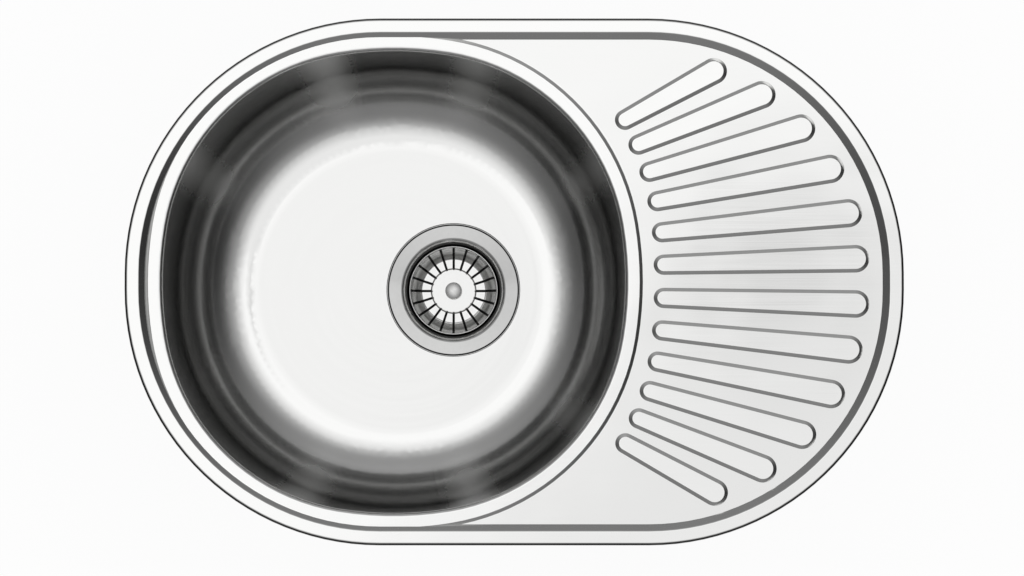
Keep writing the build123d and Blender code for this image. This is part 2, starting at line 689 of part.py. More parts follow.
def clamp_places():
    """The six frames: two at the rear, one at the right end, two in front, one at the left."""
    rear = [clamp_place(bowl_x, ledge_z), clamp_place(bowl_x + CLAMP_PITCH, board_z)]
    right = (Vector(LENGTH / 2 - clamp_inset, 0), 0.0, board_z - SHEET)
    left = (Vector(clamp_end_inset - LENGTH / 2, 0), 180.0, ledge_z - SHEET)
    front = [(Vector(spot.X, -spot.Y), -facing, z) for spot, facing, z in reversed(rear)]
    spots = [*rear, right, *front, left]
    return [Pos(spot.X, spot.Y, z) * Rot(0, 0, facing) for spot, facing, z in spots]


# ---------------------------------------------------------------- all pieces
pieces = {
    "deck": make_deck(),
    "bowl": make_bowl(),
    "rim_seal": make_rim_seal(),
    "sound_pad": make_sound_pad(),
    "earth_tag": make_earth_tag(),
    "strainer_cup": make_strainer_cup(),
    "flange_seal": make_flange_seal(),
    "body_gasket": make_body_gasket(),
    "waste_body": make_waste_body(),
    "thread_insert": make_thread_insert(),
    "strainer_screw": make_strainer_screw(),
    "basket": make_basket(),
    "basket_disc": make_basket_disc(),
    "knob": make_knob(),
    "stem": make_stem(),
    "spacer": make_spacer(),
    "stopper": make_stopper(),
    "stem_nut": make_stem_nut(),
}

places = clamp_places()
pieces["clamp_lugs"] = Compound([place * make_lug() for place in places])
pieces["clamp_nuts"] = Compound([place * make_clamp_nut() for place in places])
for number, place in enumerate(places, start=1):
    pieces[f"clamp_washer_{number}"] = place * make_washer()
    pieces[f"clamp_claw_{number}"] = place * make_claw()
    pieces[f"clamp_screw_{number}"] = place * make_clamp_screw()

for name, piece in pieces.items():
    solids = [solid for solid in piece.solids() if solid.volume > 0.01]
    print(name, len(solids), "solid(s),", round(sum(solid.volume for solid in solids)), "mm3")
    export_step(piece, f"parts/{name}.step")
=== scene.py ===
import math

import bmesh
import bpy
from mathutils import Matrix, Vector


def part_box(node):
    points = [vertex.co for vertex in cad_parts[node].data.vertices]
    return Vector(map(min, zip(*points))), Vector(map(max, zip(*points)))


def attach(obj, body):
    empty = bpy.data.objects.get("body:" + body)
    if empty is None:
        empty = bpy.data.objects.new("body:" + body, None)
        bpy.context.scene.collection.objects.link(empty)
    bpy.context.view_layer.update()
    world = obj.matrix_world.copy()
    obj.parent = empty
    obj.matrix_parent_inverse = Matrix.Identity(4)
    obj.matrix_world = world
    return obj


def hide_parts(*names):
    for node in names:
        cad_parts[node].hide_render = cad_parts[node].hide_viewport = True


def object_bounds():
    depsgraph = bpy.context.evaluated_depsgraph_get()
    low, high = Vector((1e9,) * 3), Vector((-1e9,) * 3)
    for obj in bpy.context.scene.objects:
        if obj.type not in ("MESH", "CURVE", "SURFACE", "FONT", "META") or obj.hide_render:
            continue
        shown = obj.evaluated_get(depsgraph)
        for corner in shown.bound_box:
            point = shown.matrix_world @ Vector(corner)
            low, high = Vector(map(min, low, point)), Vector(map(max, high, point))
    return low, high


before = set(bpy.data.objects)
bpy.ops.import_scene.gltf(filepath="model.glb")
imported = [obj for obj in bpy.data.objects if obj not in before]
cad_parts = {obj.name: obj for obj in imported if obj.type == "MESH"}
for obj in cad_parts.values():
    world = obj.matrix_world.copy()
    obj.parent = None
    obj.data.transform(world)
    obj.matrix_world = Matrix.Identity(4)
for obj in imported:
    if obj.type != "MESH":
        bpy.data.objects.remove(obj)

# %% [markdown]
# # A kitchen sink with a drainboard
#
# The object is a pressed stainless steel sink: a sheet with two nearly round
# ends and a raised rim, a deep bowl at the left and a drainboard with fanned
# ribs at the right. Its shape comes from a CAD model, so every node already has
# its real size and place. This lesson gives each node the finish of its
# material, makes the pieces that CAD leaves plain, and sets up a studio that
# steel can reflect. Lengths are in metres, +Z is up, and the worktop's face is
# at height 0.

MM = 0.001
CORNER_R = 213 * MM         # corners of the outline, nearly half its width
cad_low, cad_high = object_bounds()
scene = bpy.context.scene
print("CAD box in mm:", [round(v / MM, 1) for v in cad_high - cad_low])

# %% [markdown]
# ## Colours and nodes
#
# A paint or metal colour is written as an sRGB hex value, as a colour picker
# shows it, but nodes work on linear light. One function does that conversion,
# and one more adds a node with its settings and its links, so that each
# material below reads as a short list of what happens to the surface.


# %% Colour and node helpers
def linear(colour):
    """An sRGB hex colour as linear red, green, blue and alpha."""
    parts = [int(colour[i:i + 2], 16) / 255 for i in (1, 3, 5)]
    return [c / 12.92 if c <= 0.04045 else ((c + 0.055) / 1.055) ** 2.4 for c in parts] + [1.0]


def add(tree, kind, inputs=None, **settings):
    """Adds a node. Each input is a value, or a socket of an earlier node to link."""
    made = tree.nodes.new(kind)
    for name, value in settings.items():
        setattr(made, name, value)
    for name, value in (inputs or {}).items():
        if isinstance(value, bpy.types.NodeSocket):
            tree.links.new(value, made.inputs[name])
        else:
            made.inputs[name].default_value = value
    return made


def new_finish(name):
    """An empty material with a Principled shader, and the piece's own coordinates in metres."""
    material = bpy.data.materials.new(name)
    material.use_nodes = True
    tree = material.node_tree
    shader = tree.nodes["Principled BSDF"]
    place = add(tree, "ShaderNodeTexCoord").outputs["Object"]
    return material, tree, shader, place


def wear(nodes, material):
    """Puts one material on every slot of the named CAD nodes."""
    for name in nodes:
        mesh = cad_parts[name].data
        mesh.materials.clear()
        mesh.materials.append(material)
    print(material.name, "on", len(nodes), "nodes")


# %% [markdown]
# ## Satin stainless sheet
#
# The deck is 0.8 mm cold-rolled 18/10 stainless steel, finished with fine
# belts that run along the sheet. The eye sees a nearly white metal with soft
# reflections and a faint grain from left to right. Pressing also leaves thin
# sheet a little wavy, which shows as slow shades on the flat between the ribs.
# The grain is about 0.1 mm wide on the real sheet. It is drawn 1 mm wide here,
# so that it still shows at arm's length.
#
# Two tones follow the place, and both are painted shade. The drainboard lies
# lower than the ledge and the ribs, and is painted a shade greyer. The outer
# edge is rolled over, and the outer part of that roll is painted dark grey as
# painted shade and a painted dark reflection: the thin dark line the eye sees
# there.

# %% The deck's grain and waves
GRAIN_SCALE = (9, 1000, 1000)    # lines 1 mm wide and about 110 mm long
WAVE_SCALE = 14.0                # waves about 70 mm across
WAVE_HEIGHT = 0.3 * MM
RELIEF_HEIGHT = 0.2 * MM
satin, tree, shader, place = new_finish("satin_stainless_sheet")
along = add(tree, "ShaderNodeMapping", {"Vector": place, "Scale": GRAIN_SCALE})
grain = add(tree, "ShaderNodeTexNoise",
            {"Vector": along.outputs[0], "Scale": 1.0, "Detail": 3.0, "Roughness": 0.6})
wave = add(tree, "ShaderNodeTexNoise", {"Vector": place, "Scale": WAVE_SCALE, "Detail": 1.0})
tint = add(tree, "ShaderNodeMix",
           {"Factor": grain.outputs["Fac"], "A": linear("#FBFBFA"), "B": linear("#FEFEFD")},
           data_type="RGBA")
rough = add(tree, "ShaderNodeMapRange",
            {"Value": grain.outputs["Fac"], "From Min": 0.3, "From Max": 0.7,
             "To Min": 0.08, "To Max": 0.12})
waves = add(tree, "ShaderNodeBump",
            {"Height": wave.outputs["Fac"], "Strength": 1.0, "Distance": WAVE_HEIGHT})
relief = add(tree, "ShaderNodeBump",
             {"Height": grain.outputs["Fac"], "Strength": 0.005, "Distance": RELIEF_HEIGHT,
              "Normal": waves.outputs[0]})
print("grain lines", round(1000 / GRAIN_SCALE[1], 1), "mm wide")

# %% The deck's painted shade, by height and by distance from the corners' centres
BOARD_Z = -1.8 * MM              # the drainboard lies below this
RAISED_Z = -0.6 * MM             # the ledge and the ribs' tops lie above this
LINE_START = 210.9 * MM          # the dark line begins this far from those centres
LINE_FULL = 211.6 * MM           # and is fully dark from here to the edge
parts = add(tree, "ShaderNodeSeparateXYZ", {"Vector": place})
# painted shade: what lies low on the deck, as the drainboard does, is painted a shade greyer
board_shade_off = add(tree, "ShaderNodeMapRange",
             {"Value": parts.outputs["Z"], "From Min": BOARD_Z, "From Max": RAISED_Z})
tint = add(tree, "ShaderNodeMix",
           {"Factor": board_shade_off.outputs[0], "A": linear("#F8F8F7"), "B": tint.outputs["Result"]},
           data_type="RGBA")
centre = (cad_high.x - CORNER_R, cad_high.y - CORNER_R, 1.0)    # 1 m keeps height out of it
apart = add(tree, "ShaderNodeVectorMath", {0: place}, operation="ABSOLUTE")
apart = add(tree, "ShaderNodeVectorMath", {0: apart.outputs[0], 1: centre}, operation="SUBTRACT")
apart = add(tree, "ShaderNodeVectorMath", {0: apart.outputs[0], 1: (0, 0, 0)}, operation="MAXIMUM")
apart = add(tree, "ShaderNodeVectorMath", {0: apart.outputs[0]}, operation="LENGTH")
# painted shade and painted dark reflection: the outer part of the rolled edge is painted dark grey
painted_dark_edge = add(tree, "ShaderNodeMapRange",
             {"Value": apart.outputs["Value"], "From Min": LINE_START, "From Max": LINE_FULL})
tint = add(tree, "ShaderNodeMix",
           {"Factor": painted_dark_edge.outputs[0], "A": tint.outputs["Result"], "B": linear("#5E5E5D")},
           data_type="RGBA")
shader.inputs["Metallic"].default_value = 1.0
tree.links.new(tint.outputs["Result"], shader.inputs["Base Color"])
tree.links.new(rough.outputs[0], shader.inputs["Roughness"])
tree.links.new(relief.outputs[0], shader.inputs["Normal"])
print("corners' centres in mm:", [round(v / MM, 1) for v in centre[:2]])
wear(["deck"], satin)

# %% [markdown]
# ## The drawn and turned bowl
#
# The bowl is drawn from a second sheet, welded under the deck's mouth and then
# polished on a turning table, so its marks run round it in rings. The eye sees
# a brighter, sharper polish than the deck's, broken by those rings: dark and
# light lines that follow the wall. The strongest stand 3 to 6 mm apart.
#
# The wall is painted greyer than the floor, as painted shade, and seven paler
# streaks run up it, where the eye sees light. They are painted highlights and a
# change of polish, so that they stay on the wall from any side. Their places are
# angles round the bowl.

# %% Places on the bowl: how far from its middle, and how far round
bowl_low, bowl_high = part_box("bowl")
bowl_x = (bowl_low.x + bowl_high.x) / 2
ringed, tree, shader, place = new_finish("turned_stainless_bowl")
centred = add(tree, "ShaderNodeMapping", {"Vector": place, "Location": (-bowl_x, 0, 0)})
parts = add(tree, "ShaderNodeSeparateXYZ", {"Vector": centred.outputs[0]})
flat = add(tree, "ShaderNodeCombineXYZ", {"X": parts.outputs["X"], "Y": parts.outputs["Y"]})
radius = add(tree, "ShaderNodeVectorMath", {0: flat.outputs[0]}, operation="LENGTH")
turn = add(tree, "ShaderNodeMath",
           {0: parts.outputs["Y"], 1: parts.outputs["X"]}, operation="ARCTAN2")
round_it = add(tree, "ShaderNodeCombineXYZ",
               {"X": radius.outputs["Value"], "Y": turn.outputs[0], "Z": parts.outputs["Z"]})
print("bowl's middle in mm:", round(bowl_x / MM, 1))

# %% The turning rings, and the painted streaks of light up the wall
RING_SCALE = (220, 0.9, 220)     # lines about 4.5 mm apart, long round the bowl
STREAKS = [(30, 0.5), (70, 0.6), (108, 1.0), (150, 0.6), (246, 0.7), (290, 1.0), (324, 0.4)]
STREAK_HALF = 9                  # degrees from a streak's middle to its edge
spread = add(tree, "ShaderNodeMapping", {"Vector": round_it.outputs[0], "Scale": RING_SCALE})
ring = add(tree, "ShaderNodeTexNoise",
           {"Vector": spread.outputs[0], "Scale": 1.0, "Detail": 1.5, "Roughness": 0.5})
share = add(tree, "ShaderNodeMath",
            {0: turn.outputs[0], 1: 1 / math.tau, 2: 0.5}, operation="MULTIPLY_ADD")
# painted highlights: the streaks' levels make the wall's colour paler here, and its polish rougher
streak_light_and_polish = add(tree, "ShaderNodeValToRGB", {"Fac": share.outputs[0]})
stops = [(0.0, 0.0), (1.0, 0.0)]
for degrees, level in STREAKS:
    middle = (degrees / 360 + 0.5) % 1.0
    stops += [(middle - STREAK_HALF / 360, 0.0), (middle, level), (middle + STREAK_HALF / 360, 0.0)]
elements = streak_light_and_polish.color_ramp.elements
while len(elements) < len(stops):
    elements.new(0.5)
for element, (position, level) in zip(elements, sorted(stops)):
    element.position = position
    element.color = (level, level, level, 1)
streak_light_and_polish.color_ramp.interpolation = "EASE"
print(len(STREAKS), "streaks")

# %% The bowl's painted shade and light, and its polish
WALL_FOOT = 8 * MM               # above the bowl's lowest point
WALL_FULL = 30 * MM
# painted shade and painted highlight: the floor is painted a shade greyer inside FLAT_R, and its bend
# brighter from BEND_R
FLAT_R = 121 * MM                # the floor is a shade greyer inside this
BEND_R = 128 * MM                # and as bright as its bend from here
WALL_ROUGH = 0.12                # what the wall adds to the roughness
STREAK_ROUGH = 0.22              # and a full streak on top of that
wall = add(tree, "ShaderNodeMapRange",
           {"Value": parts.outputs["Z"], "From Min": bowl_low.z + WALL_FOOT,
            "From Max": bowl_low.z + WALL_FULL})
bend = add(tree, "ShaderNodeMapRange",
           {"Value": radius.outputs["Value"], "From Min": FLAT_R, "From Max": BEND_R})
# painted shade on the floor, painted highlight on its bend
bend_painted_light = add(tree, "ShaderNodeMix",
             {"Factor": bend.outputs[0], "A": linear("#F3F3F2"), "B": linear("#FBFBFA")},
             data_type="RGBA")
# painted shade on the wall, painted highlights in the streaks
wall_shade_and_streak_light = add(tree, "ShaderNodeMix",
             {"Factor": streak_light_and_polish.outputs["Color"], "A": linear("#B2B2B1"), "B": linear("#FDFDFC")},
             data_type="RGBA")
tint = add(tree, "ShaderNodeMix",
           {"Factor": wall.outputs[0], "A": bend_painted_light.outputs["Result"], "B": wall_shade_and_streak_light.outputs["Result"]},
           data_type="RGBA")
rough = add(tree, "ShaderNodeMapRange",
            {"Value": ring.outputs["Fac"], "From Min": 0.3, "From Max": 0.7,
             "To Min": 0.09, "To Max": 0.13})
duller = add(tree, "ShaderNodeMath",
             {0: streak_light_and_polish.outputs["Color"], 1: STREAK_ROUGH, 2: WALL_ROUGH}, operation="MULTIPLY_ADD")
rough = add(tree, "ShaderNodeMath",
            {0: wall.outputs[0], 1: duller.outputs[0], 2: rough.outputs[0]}, operation="MULTIPLY_ADD")
height = add(tree, "ShaderNodeMath",
             {0: ring.outputs["Fac"], 1: wall.outputs[0]}, operation="MULTIPLY")
relief = add(tree, "ShaderNodeBump",
             {"Height": height.outputs[0], "Strength": 0.2, "Distance": RELIEF_HEIGHT})
shader.inputs["Specular Tint"].default_value = (0.6, 0.6, 0.6, 1)
shader.inputs["Metallic"].default_value = 1.0
tree.links.new(tint.outputs["Result"], shader.inputs["Base Color"])
tree.links.new(rough.outputs[0], shader.inputs["Roughness"])
tree.links.new(relief.outputs[0], shader.inputs["Normal"])
wear(["bowl"], ringed)

# %% [markdown]
# ## Small metal fittings
#
# The basket's disc is polished and its knob is brushed. The lugs, the tag, the
# strainer's screw and the stem with its nut are plain mill steel, greyer and
# duller. The clamps are bright zinc plate, a little blue, and the insert in the
# waste is turned brass. Each is one metal whose colour and polish vary in
# clouds, so one function makes them all.


# %% A cloudy metal
def metal(name, dark, light, roughness, grain_mm):
    """A metal whose colour and roughness vary in clouds grain_mm across."""
    material, tree, shader, place = new_finish(name)
    cloud = add(tree, "ShaderNodeTexNoise",
                {"Vector": place, "Scale": 1000 / grain_mm, "Detail": 3.0, "Roughness": 0.6})
    tint = add(tree, "ShaderNodeMix",
               {"Factor": cloud.outputs["Fac"], "A": linear(dark), "B": linear(light)},
               data_type="RGBA")
    rough = add(tree, "ShaderNodeMapRange",
                {"Value": cloud.outputs["Fac"], "From Min": 0.3, "From Max": 0.7,
                 "To Min": roughness * 0.8, "To Max": roughness * 1.25})
    shader.inputs["Metallic"].default_value = 1.0
    tree.links.new(tint.outputs["Result"], shader.inputs["Base Color"])
    tree.links.new(rough.outputs[0], shader.inputs["Roughness"])
    return material


polished = metal("polished_stainless", "#EFEFEE", "#F6F6F5", 0.10, 6)
mill = metal("mill_stainless", "#D9D9D7", "#E6E6E4", 0.3, 4)
zinc = metal("bright_zinc_plate", "#C9CDD2", "#DDE0E2", 0.33, 2)
brass = metal("turned_brass", "#D9B25F", "#E6C679", 0.25, 2)
brushed = metal("brushed_knob", "#ECECEB", "#F4F4F3", 0.3, 3)
wear(["basket_disc"], polished)
wear(["knob"], brushed)
wear(["earth_tag", "strainer_screw", "clamp_lugs", "stem", "stem_nut"], mill)
wear(["clamp_nuts"], zinc)
for kind in ("washer", "claw", "screw"):
    wear([f"clamp_{kind}_{n}" for n in range(1, 7)], zinc)
wear(["thread_insert"], brass)

# %% [markdown]
# ## The strainer
#
# The strainer's cup is polished on its flange. Below it, inside the throat, it is
# painted dark grey as painted shade, and made rougher. The tone changes with the
# height, from 5 to 8 mm under the flange's top. The basket is polished too, with
# a ring of painted shade, also rougher, round the foot of its disc, where the disc
# meets the basket's floor. The ring is drawn by how far a point lies from the
# basket's middle.

# %% The strainer's cup, polished on its flange, with painted shade below it
LIP_DEPTH = 5 * MM
DULL_SHADED_DEPTH = 8 * MM
flange_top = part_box("strainer_cup")[1].z
pressed, tree, shader, place = new_finish("pressed_strainer_cup")
height = add(tree, "ShaderNodeSeparateXYZ", {"Vector": place})
inside = add(tree, "ShaderNodeMapRange",
             {"Value": height.outputs["Z"], "From Min": flange_top - LIP_DEPTH,
              "From Max": flange_top - DULL_SHADED_DEPTH})
cloud = add(tree, "ShaderNodeTexNoise", {"Vector": place, "Scale": 250.0, "Detail": 3.0})
bright = add(tree, "ShaderNodeMix",
             {"Factor": cloud.outputs["Fac"], "A": linear("#EDEDEC"), "B": linear("#F5F5F4")},
             data_type="RGBA")
# painted shade: dark grey inside the cup, below the flange
tint = add(tree, "ShaderNodeMix",
           {"Factor": inside.outputs[0], "A": bright.outputs["Result"], "B": linear("#4C4C4B")},
           data_type="RGBA")
rough = add(tree, "ShaderNodeMapRange",
            {"Value": inside.outputs[0], "To Min": 0.12, "To Max": 0.35})
shader.inputs["Metallic"].default_value = 1.0
tree.links.new(tint.outputs["Result"], shader.inputs["Base Color"])
tree.links.new(rough.outputs[0], shader.inputs["Roughness"])
wear(["strainer_cup"], pressed)

# %% The basket, with a ring of painted shade round the foot of its disc
SHADE_RING_R = 19.4 * MM
SHADE_RING_CORE = 0.4 * MM            # darkest up to this far from that circle
SHADE_RING_EDGE = 0.9 * MM            # and gone beyond this
basket_low, basket_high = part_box("basket")
drain_x = (basket_low.x + basket_high.x) / 2
shaded_basket, tree, shader, place = new_finish("basket_painted_shade")
across = add(tree, "ShaderNodeMapping",
             {"Vector": place, "Location": (-drain_x, 0, 0), "Scale": (1, 1, 0)})
across = add(tree, "ShaderNodeVectorMath", {0: across.outputs[0]}, operation="LENGTH")
off = add(tree, "ShaderNodeMath", {0: across.outputs["Value"], 1: SHADE_RING_R}, operation="SUBTRACT")
off = add(tree, "ShaderNodeMath", {0: off.outputs[0]}, operation="ABSOLUTE")
ring = add(tree, "ShaderNodeMapRange",
           {"Value": off.outputs[0], "From Min": SHADE_RING_CORE, "From Max": SHADE_RING_EDGE,
            "To Min": 0.9, "To Max": 0.0})
cloud = add(tree, "ShaderNodeTexNoise", {"Vector": place, "Scale": 170.0, "Detail": 3.0})
tint = add(tree, "ShaderNodeMix",
           {"Factor": cloud.outputs["Fac"], "A": linear("#EFEFEE"), "B": linear("#F6F6F5")},
           data_type="RGBA")
# painted shade: a dark ring round the foot of the disc, where it meets the basket's floor
tint = add(tree, "ShaderNodeMix",
           {"Factor": ring.outputs[0], "A": tint.outputs["Result"], "B": linear("#3A3A38")},
           data_type="RGBA")
rough = add(tree, "ShaderNodeMapRange", {"Value": ring.outputs[0], "To Min": 0.1, "To Max": 0.5})
shader.inputs["Metallic"].default_value = 1.0
tree.links.new(tint.outputs["Result"], shader.inputs["Base Color"])
tree.links.new(rough.outputs[0], shader.inputs["Roughness"])
wear(["basket"], shaded_basket)

# %% [markdown]
# ## Rubber, foam, pad and plastic
#
# The seals and the stopper are moulded black rubber, matt and slightly grey.
# The strip under the rim is closed-cell foam, and the pad under the floor is
# bitumen sheet. The waste body is white moulded polypropylene.


# %% A dull material with a fine relief
def dull(name, dark, light, roughness, grain_mm, depth_mm):
    """A moulded or foamed surface, its relief grain_mm across and depth_mm deep."""
    material, tree, shader, place = new_finish(name)
    cloud = add(tree, "ShaderNodeTexNoise",
                {"Vector": place, "Scale": 1000 / grain_mm, "Detail": 4.0, "Roughness": 0.6})
    tint = add(tree, "ShaderNodeMix",
               {"Factor": cloud.outputs["Fac"], "A": linear(dark), "B": linear(light)},
               data_type="RGBA")
    relief = add(tree, "ShaderNodeBump",
                 {"Height": cloud.outputs["Fac"], "Strength": 0.5, "Distance": depth_mm * MM})
    shader.inputs["Roughness"].default_value = roughness
    tree.links.new(tint.outputs["Result"], shader.inputs["Base Color"])
    tree.links.new(relief.outputs[0], shader.inputs["Normal"])
    return material


rubber = dull("moulded_rubber", "#1D1D1E", "#2A2A2B", 0.6, 1.0, 0.05)
foam = dull("sealing_foam", "#4A4B4C", "#626364", 0.9, 0.8, 0.3)
bitumen = dull("bitumen_sheet", "#2E2F30", "#3C3D3E", 0.75, 1.5, 0.3)
plastic = dull("moulded_polypropylene", "#E9E9E6", "#F1F1EE", 0.4, 0.8, 0.03)
wear(["flange_seal", "body_gasket", "stopper"], rubber)
wear(["rim_seal"], foam)
wear(["sound_pad"], bitumen)
wear(["waste_body", "spacer"], plastic)

# %% [markdown]
# ## Pieces grown from rules
#
# Two kinds of shape follow a rule, so a tree of geometry nodes makes each of
# them: a thread is a ridge that climbs one pitch with each turn, and the foam
# is one section carried round the rim. A tree's named inputs hold its sizes. It
# runs once for each piece, and its result is kept as a plain mesh.


# %% How a rule becomes a mesh
def new_rule(name, **sizes):
    """An empty geometry node tree whose named inputs start at these values."""
    tree = bpy.data.node_groups.new(name, "GeometryNodeTree")
    for label, value in sizes.items():
        kind = "NodeSocketInt" if isinstance(value, int) else "NodeSocketFloat"
        socket = tree.interface.new_socket(label, in_out="INPUT", socket_type=kind)
        socket.default_value = value
    tree.interface.new_socket("mesh", in_out="OUTPUT", socket_type="NodeSocketGeometry")
    return tree, add(tree, "NodeGroupInput").outputs


def close_rule(tree, shape, material):
    """Ends a rule: one real mesh, in one material."""
    real = add(tree, "GeometryNodeRealizeInstances", {"Geometry": shape})
    paint = add(tree, "GeometryNodeSetMaterial", {"Geometry": real.outputs[0], "Material": material})
    add(tree, "NodeGroupOutput", {"mesh": paint.outputs[0]})


def grow(name, tree, **sizes):
    """Runs a rule with these sizes and returns its result as a plain mesh."""
    holder = bpy.data.objects.new(name, bpy.data.meshes.new(name))
    scene.collection.objects.link(holder)
    rule = holder.modifiers.new("rule", "NODES")
    rule.node_group = tree
    for item in tree.interface.items_tree:
        if item.name in sizes:
            rule[item.identifier] = sizes[item.name]
    seen = holder.evaluated_get(bpy.context.evaluated_depsgraph_get())
    mesh = bpy.data.meshes.new_from_object(seen)
    bpy.data.objects.remove(holder)
    return mesh


def set_piece(name, mesh, body, node):
    """Shows a finished mesh in place of its CAD node, on that node's body."""
    piece = bpy.data.objects.new(name, mesh)
    scene.collection.objects.link(piece)
    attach(piece, body)
    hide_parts(node)
    return piece


# %% [markdown]
# ## Threads
#
# A thread is one ridge that climbs a pitch with each turn. The rule pushes a
# cylinder's side in and out by how far its height, counted in turns, is ahead
# of its angle. The ridge runs out towards both ends, as a cut thread does.


# %% A rule for any thread
def thread_rule(name, cap, **sizes):
    """A ridged tube round +Z, its middle at the origin. The cap is NGON, or NONE if it is open."""
    tree, size = new_rule(name, **sizes)
    tube = add(tree, "GeometryNodeMeshCylinder",
               {"Vertices": size["sides"], "Side Segments": size["rows"], "Radius": size["crest"],
                "Depth": size["length"]}, fill_type=cap)
    spot = add(tree, "GeometryNodeInputPosition").outputs[0]
    parts = add(tree, "ShaderNodeSeparateXYZ", {"Vector": spot})
    turn = add(tree, "ShaderNodeMath",
               {0: parts.outputs["Y"], 1: parts.outputs["X"]}, operation="ARCTAN2")
    turns = add(tree, "ShaderNodeMath", {0: turn.outputs[0], 1: math.tau}, operation="DIVIDE")
    climb = add(tree, "ShaderNodeMath", {0: parts.outputs["Z"], 1: size["pitch"]}, operation="DIVIDE")
    ahead = add(tree, "ShaderNodeMath", {0: climb.outputs[0], 1: turns.outputs[0]}, operation="SUBTRACT")
    ridge = add(tree, "ShaderNodeMath", {0: ahead.outputs[0], 1: 0.5}, operation="PINGPONG")
    height = add(tree, "ShaderNodeMath", {0: parts.outputs["Z"]}, operation="ABSOLUTE")
    end = add(tree, "ShaderNodeMath", {0: size["length"], 1: 0.5}, operation="MULTIPLY")
    start = add(tree, "ShaderNodeMath", {0: end.outputs[0], 1: size["pitch"]}, operation="SUBTRACT")
    full = add(tree, "ShaderNodeMapRange",
               {"Value": height.outputs[0], "From Min": start.outputs[0], "From Max": end.outputs[0],
                "To Min": 2.0, "To Max": 0.0})
    ridge = add(tree, "ShaderNodeMath", {0: ridge.outputs[0], 1: full.outputs[0]}, operation="MULTIPLY")
    core = add(tree, "ShaderNodeMath", {0: size["crest"], 1: size["depth"]}, operation="SUBTRACT")
    reach = add(tree, "ShaderNodeMath",
                {0: ridge.outputs[0], 1: size["depth"], 2: core.outputs[0]}, operation="MULTIPLY_ADD")
    east = add(tree, "ShaderNodeMath", {0: turn.outputs[0]}, operation="COSINE")
    north = add(tree, "ShaderNodeMath", {0: turn.outputs[0]}, operation="SINE")
    aim = add(tree, "ShaderNodeCombineXYZ", {"X": east.outputs[0], "Y": north.outputs[0]})
    aim = add(tree, "ShaderNodeVectorMath",
              {0: aim.outputs[0], "Scale": reach.outputs[0]}, operation="SCALE")
    rise = add(tree, "ShaderNodeCombineXYZ", {"Z": parts.outputs["Z"]})
    aim = add(tree, "ShaderNodeVectorMath", {0: aim.outputs[0], 1: rise.outputs[0]}, operation="ADD")
    tube = add(tree, "GeometryNodeSetPosition",
               {"Geometry": tube.outputs["Mesh"], "Position": aim.outputs[0]})
    smooth = add(tree, "GeometryNodeSetShadeSmooth", {0: tube.outputs[0]})
    return tree, size, smooth.outputs[0]


# %% [markdown]
# ## Clamp screws
#
# Each clamp is drawn up by an M4 screw of zinc-plated steel, with a hexagon
# head 7 mm across its flats. Its thread is rolled, 0.7 mm from turn to turn and
# 0.35 mm deep. The head is forged, so the corners of its free face are cut back.

# %% The screw's rule: a thread with a hexagon head under it
HEAD = 2.8 * MM
PITCH = 0.7 * MM
ROWS_A_TURN = 6
CUT_BACK = (0.87, 0.87, 1.0)     # the free face's corners, drawn in
LOWEST_ROW = -0.45 * HEAD        # in a head whose middle is at the origin
tree, size, shank = thread_rule("threaded_screw", "NGON", crest=2 * MM, depth=0.35 * MM, pitch=PITCH,
                                length=24 * MM, rows=200, sides=20, corner=4 * MM)
half = add(tree, "ShaderNodeMath", {0: size["length"], 1: 0.5, 2: HEAD}, operation="MULTIPLY_ADD")
lift = add(tree, "ShaderNodeCombineXYZ", {"Z": half.outputs[0]})
shank = add(tree, "GeometryNodeTransform", {"Geometry": shank, "Translation": lift.outputs[0]})
block = add(tree, "GeometryNodeMeshCylinder",
            {"Vertices": 6, "Side Segments": 7, "Radius": size["corner"], "Depth": HEAD})
spot = add(tree, "GeometryNodeInputPosition").outputs[0]
parts = add(tree, "ShaderNodeSeparateXYZ", {"Vector": spot})
lowest = add(tree, "ShaderNodeMath", {0: parts.outputs["Z"], 1: LOWEST_ROW}, operation="LESS_THAN")
narrow = add(tree, "ShaderNodeVectorMath", {0: spot, 1: CUT_BACK}, operation="MULTIPLY")
block = add(tree, "GeometryNodeSetPosition",
            {"Geometry": block.outputs["Mesh"], "Selection": lowest.outputs[0],
             "Position": narrow.outputs[0]})
block = add(tree, "GeometryNodeTransform", {"Geometry": block.outputs[0], "Translation": (0, 0, HEAD / 2)})
screw = add(tree, "GeometryNodeJoinGeometry", {"Geometry": shank.outputs[0]})
tree.links.new(block.outputs[0], screw.inputs["Geometry"])
close_rule(tree, screw.outputs[0], zinc)
print("screw rule", len(tree.nodes), "nodes")

# %% Six screws, each on its own body
for n in range(1, 7):
    low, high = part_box(f"clamp_screw_{n}")
    span = high - low
    mesh = grow(f"threaded_screw_{n}", tree, length=span.z - HEAD, corner=max(span.x, span.y) / 2,
                rows=round((span.z - HEAD) / PITCH * ROWS_A_TURN))
    corner_turn = 0 if span.x > span.y else math.pi / 2
    mesh.transform(Matrix.Translation(((low.x + high.x) / 2, (low.y + high.y) / 2, low.z))
                   @ Matrix.Rotation(corner_turn, 4, "Z"))
    set_piece(f"threaded_screw_{n}", mesh, f"screw_{n}", f"clamp_screw_{n}")
print("each screw", len(mesh.polygons), "faces,", round(span.z / MM, 1), "mm long")

# %% [markdown]
# ## The spigot's thread
#
# The waste body ends in a spigot for a 1 1/2 inch trap nut. Its thread is
# moulded with it, 11 turns to the inch, so 2.309 mm from turn to turn. Only the
# outer part of each ridge stands out of the plain spigot that CAD gives, by
# 0.4 mm, and the hollows are left to the spigot's own wall. The ridged tube is
# open at both ends, so a strip of faces joins its two rims into a closed ring.

